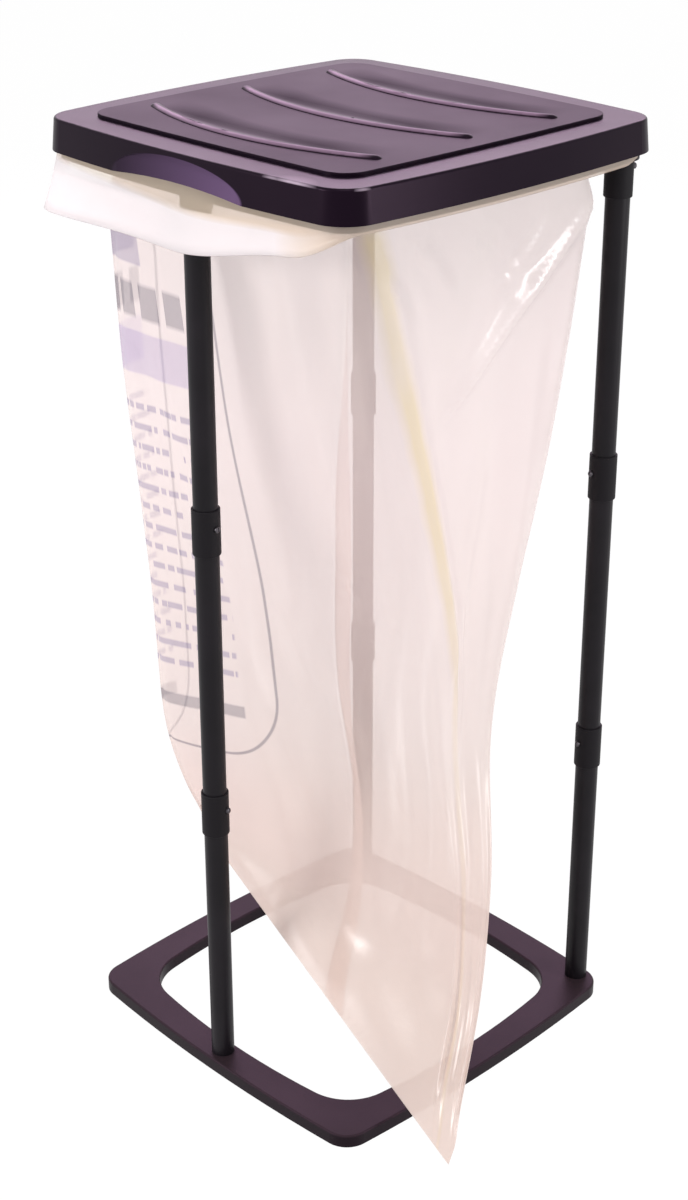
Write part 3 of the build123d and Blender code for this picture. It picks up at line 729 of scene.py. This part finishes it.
def printedOutline(material, across, down, shape):
    calc = partial(mathNode, material)
    squares = []
    for value, low, high in ((across, shape["left"], shape["right"]),
                             (down, shape["top"], shape["bottom"])):
        off = calc("ABSOLUTE", calc("SUBTRACT", value, (low + high) / 2))
        past = calc("MAXIMUM", calc("SUBTRACT", off, (high - low) / 2 - shape["round"]), 0.0)
        squares.append(calc("MULTIPLY", past, past))
    radius = calc("SQRT", calc("ADD", *squares))
    return between(material, radius, shape["round"] - shape["line"], shape["round"] + shape["line"],
                   shape["soft"])


def creaseMask(material, place, across, down):
    calc, spread = nodeTools(material)
    wander = addNode(material, "ShaderNodeTexNoise", {"Vector": place},
                     Scale=crease["wanderScale"], Detail=2.0).outputs["Fac"]
    centre = calc("ADD", calc("MULTIPLY", calc("SUBTRACT", wander, 0.5), crease["wander"]),
                  calc("MULTIPLY_ADD", down, crease["slope"], crease["top"]))
    off = calc("ABSOLUTE", calc("SUBTRACT", across, centre))
    mask = calc("MULTIPLY", spread(off, crease["width"], crease["width"] * crease["core"]),
                between(material, down, 0.0, crease["bottom"], crease["soft"]))
    mask = calc("MULTIPLY", mask, spread(wander, *crease["patchy"]))
    return calc("MULTIPLY", mask, spread(down, *crease["fades"]))


def bagFilm():
    material = newMaterial("blownPolyethyleneFilm")
    calc, spread = nodeTools(material)
    tint = partial(blendColour, material)
    place = addNode(material, "ShaderNodeTexCoord").outputs["Object"]
    flat = addNode(material, "ShaderNodeUVMap", _uv_map="film").outputs["UV"]
    axes = addNode(material, "ShaderNodeSeparateXYZ", {"Vector": flat}).outputs
    across, down = axes["X"], calc("MULTIPLY", axes["Y"], -1.0)

    creased = creaseMask(material, place, across, down)
    turned = spread(down, *folded["turn"])
    edge = calc("MULTIPLY_ADD", calc("MAXIMUM", across, 0.0), folded["edgeSlope"], folded["edge"])
    hemLayersAndHighlight = spread(calc("SUBTRACT", down, edge), folded["edgeSoft"], -folded["edgeSoft"])
    hemLayersAndHighlight = calc("MULTIPLY", hemLayersAndHighlight, spread(across, *folded["hemHighlightFade"], 1.0, 0.0))
    lidShadow = calc("MULTIPLY", turned, spread(across, *folded["lidShadowFade"]))
    colour = tint(film["colour"], spread(down, *film["paler"]), film["colourLow"])
    colour = tint(colour, creased, crease["colour"])
    # painted shadow of the lid on the fold, then a painted highlight on its flared part
    colour = tint(colour, lidShadow, film["shade"])
    colour = tint(colour, hemLayersAndHighlight, film["hem"])

    marks = [(printField(material, across, down, *ends), name, printing["fieldShare"])
             for *ends, name in printFields]
    marks += [(printBars(material, across, down, rows), name, printing["barShare"])
              for rows, name in ((printRows, "ink"), (printTitle, "inkDark"))]
    marks += [(printedOutline(material, across, down, printOutline), "inkDark", printing["outlineShare"])]
    ink = 0.0
    for mask, name, strength in marks:
        colour = tint(colour, mask, film[name], strength)
        ink = calc("ADD", mask, ink)
    ink = calc("MINIMUM", ink, 1.0)

    # more film lies together near the seam and in the fold over the frame
    clearness = spread(down, *film["lower"], film["open"], film["openLow"])
    for mask, less in ((turned, film["open"] - film["openShade"]),
                       (hemLayersAndHighlight, film["openShade"] - film["openHem"]),
                       (ink, film["openInk"]), (creased, film["openCrease"])):
        clearness = calc("SUBTRACT", clearness, calc("MULTIPLY", mask, less))

    crinkle = addNode(material, "ShaderNodeTexNoise", {"Vector": place},
                      Scale=film["crinkleScale"], Detail=3.0, Roughness=0.55, Distortion=0.5)
    bump = addNode(material, "ShaderNodeBump", {"Height": crinkle.outputs["Fac"]},
                   Strength=film["crinkle"], Distance=film["crinkleDepth"]).outputs["Normal"]
    dull = spread(down, *film["duller"], film["roughness"], film["roughLow"])
    body = addNode(material, "ShaderNodeBsdfPrincipled",
                   {"Normal": bump, "Base Color": colour, "Roughness": dull},
                   Specular_IOR_Level=film["shine"])
    glow = addNode(material, "ShaderNodeBsdfTranslucent", {"Normal": bump, "Color": colour})
    milk = addNode(material, "ShaderNodeMixShader", {1: body.outputs[0], 2: glow.outputs[0]},
                   Fac=film["milk"])
    clear = addNode(material, "ShaderNodeBsdfTransparent")
    mix = addNode(material, "ShaderNodeMixShader",
                  {"Fac": clearness, 1: milk.outputs[0], 2: clear.outputs[0]})
    return finish(material, mix)


bagPiece = buildBag()
bagPiece.data.materials.append(bagFilm())
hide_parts("bin_bag")
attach(bagPiece, "stand")
print("stage: bag film,", len(bagPiece.data.polygons), "faces")


# Floor, backdrop, lamps and camera. The paper floor and the world show white to the camera
# and in reflections, and light the object at a plain level.
studio = {
    "camera": (1.2808, -1.2411, 1.2830), "azimuth": 46.092, "elevation": 25.251, "roll": -0.129,
    "focal": 2092.28, "imageHeight": 1200, "sensor": 36.0,
    "floorSize": 60.0, "floorColour": "#f4f2f1", "floorWhite": 1.04, "floorShare": 0.93,
    "worldColour": "#f6f4f6", "worldStrength": 0.43, "worldWhite": 1.03,
}
# Lamps: name, place, aim, width and height, watts, colour
lamps = [
    ("backSoftbox", (-1.9, 1.9, 2.15), (0, 0, 0.9), (2.6, 0.9), 43, "#efc2ea"),
    ("frontLeftLamp", (-0.9, -2.4, 1.45), (0, 0, 0.75), (0.7, 0.7), 42, "#ffffff"),
    ("rightRearLamp", (2.13, 0.93, 1.02), (0.15, 0, 0.76), (0.42, 0.98), 25, "#ffffff"),
    ("topLamp", (0.9, -0.9, 2.9), (0, 0, 0.6), (1.0, 1.0), 20, "#ffffff"),
]


def shownRays(owner):
    path = addNode(owner, "ShaderNodeLightPath").outputs
    seen = mathNode(owner, "MAXIMUM", path["Is Camera Ray"], path["Is Glossy Ray"])
    return mathNode(owner, "MAXIMUM", seen, path["Is Transmission Ray"])


def buildFloor():
    bpy.ops.mesh.primitive_plane_add(size=studio["floorSize"], location=(0, 0, 0))
    floor = bpy.context.object
    floor.name = "studio_floor"
    material = newMaterial("paperFloor")
    paper = addNode(material, "ShaderNodeBsdfDiffuse", Color=hexColour(studio["floorColour"]))
    white = addNode(material, "ShaderNodeEmission", Color=hexColour("#ffffff"),
                    Strength=studio["floorWhite"])
    share = mathNode(material, "MULTIPLY", shownRays(material), studio["floorShare"])
    both = addNode(material, "ShaderNodeMixShader", {0: share, 1: paper.outputs[0], 2: white.outputs[0]})
    floor.data.materials.append(finish(material, both))


def buildWorld():
    world = bpy.data.worlds.new("studio")
    bpy.context.scene.world = world
    world.use_nodes = True
    world.node_tree.nodes.clear()
    plain = addNode(world, "ShaderNodeBackground", Color=hexColour(studio["worldColour"]),
                    Strength=studio["worldStrength"])
    shown = addNode(world, "ShaderNodeBackground", Color=hexColour("#ffffff"),
                    Strength=studio["worldWhite"])
    mix = addNode(world, "ShaderNodeMixShader",
                  {0: shownRays(world), 1: plain.outputs[0], 2: shown.outputs[0]})
    addNode(world, "ShaderNodeOutputWorld", {"Surface": mix.outputs[0]})


def areaLamp(name, place, target, size, watts, code):
    bpy.ops.object.light_add(type="AREA", location=place)
    lamp = bpy.context.object
    lamp.name = name
    lamp.data.shape = "RECTANGLE"
    lamp.data.size, lamp.data.size_y = size
    lamp.data.energy = watts
    lamp.data.color = hexColour(code)[:3]
    lamp.rotation_euler = (Vector(target) - Vector(place)).to_track_quat("-Z", "Y").to_euler()
    lamp.visible_camera = False


def buildCamera():
    data = bpy.data.cameras.new("camera")
    data.sensor_width = studio["sensor"]
    data.lens = studio["focal"] * studio["sensor"] / studio["imageHeight"]
    camera = bpy.data.objects.new("camera", data)
    bpy.context.scene.collection.objects.link(camera)
    turn = Matrix.Rotation(math.radians(studio["azimuth"]), 4, "Z")
    turn @= Matrix.Rotation(math.radians(90 - studio["elevation"]), 4, "X")
    turn @= Matrix.Rotation(math.radians(studio["roll"]), 4, "Z")
    camera.matrix_world = Matrix.Translation(studio["camera"]) @ turn
    bpy.context.scene.camera = camera


buildFloor()
buildWorld()
for lamp in lamps:
    areaLamp(*lamp)
buildCamera()
bpy.context.scene.view_settings.view_transform = "Standard"
print("stage: studio, lamps and camera")
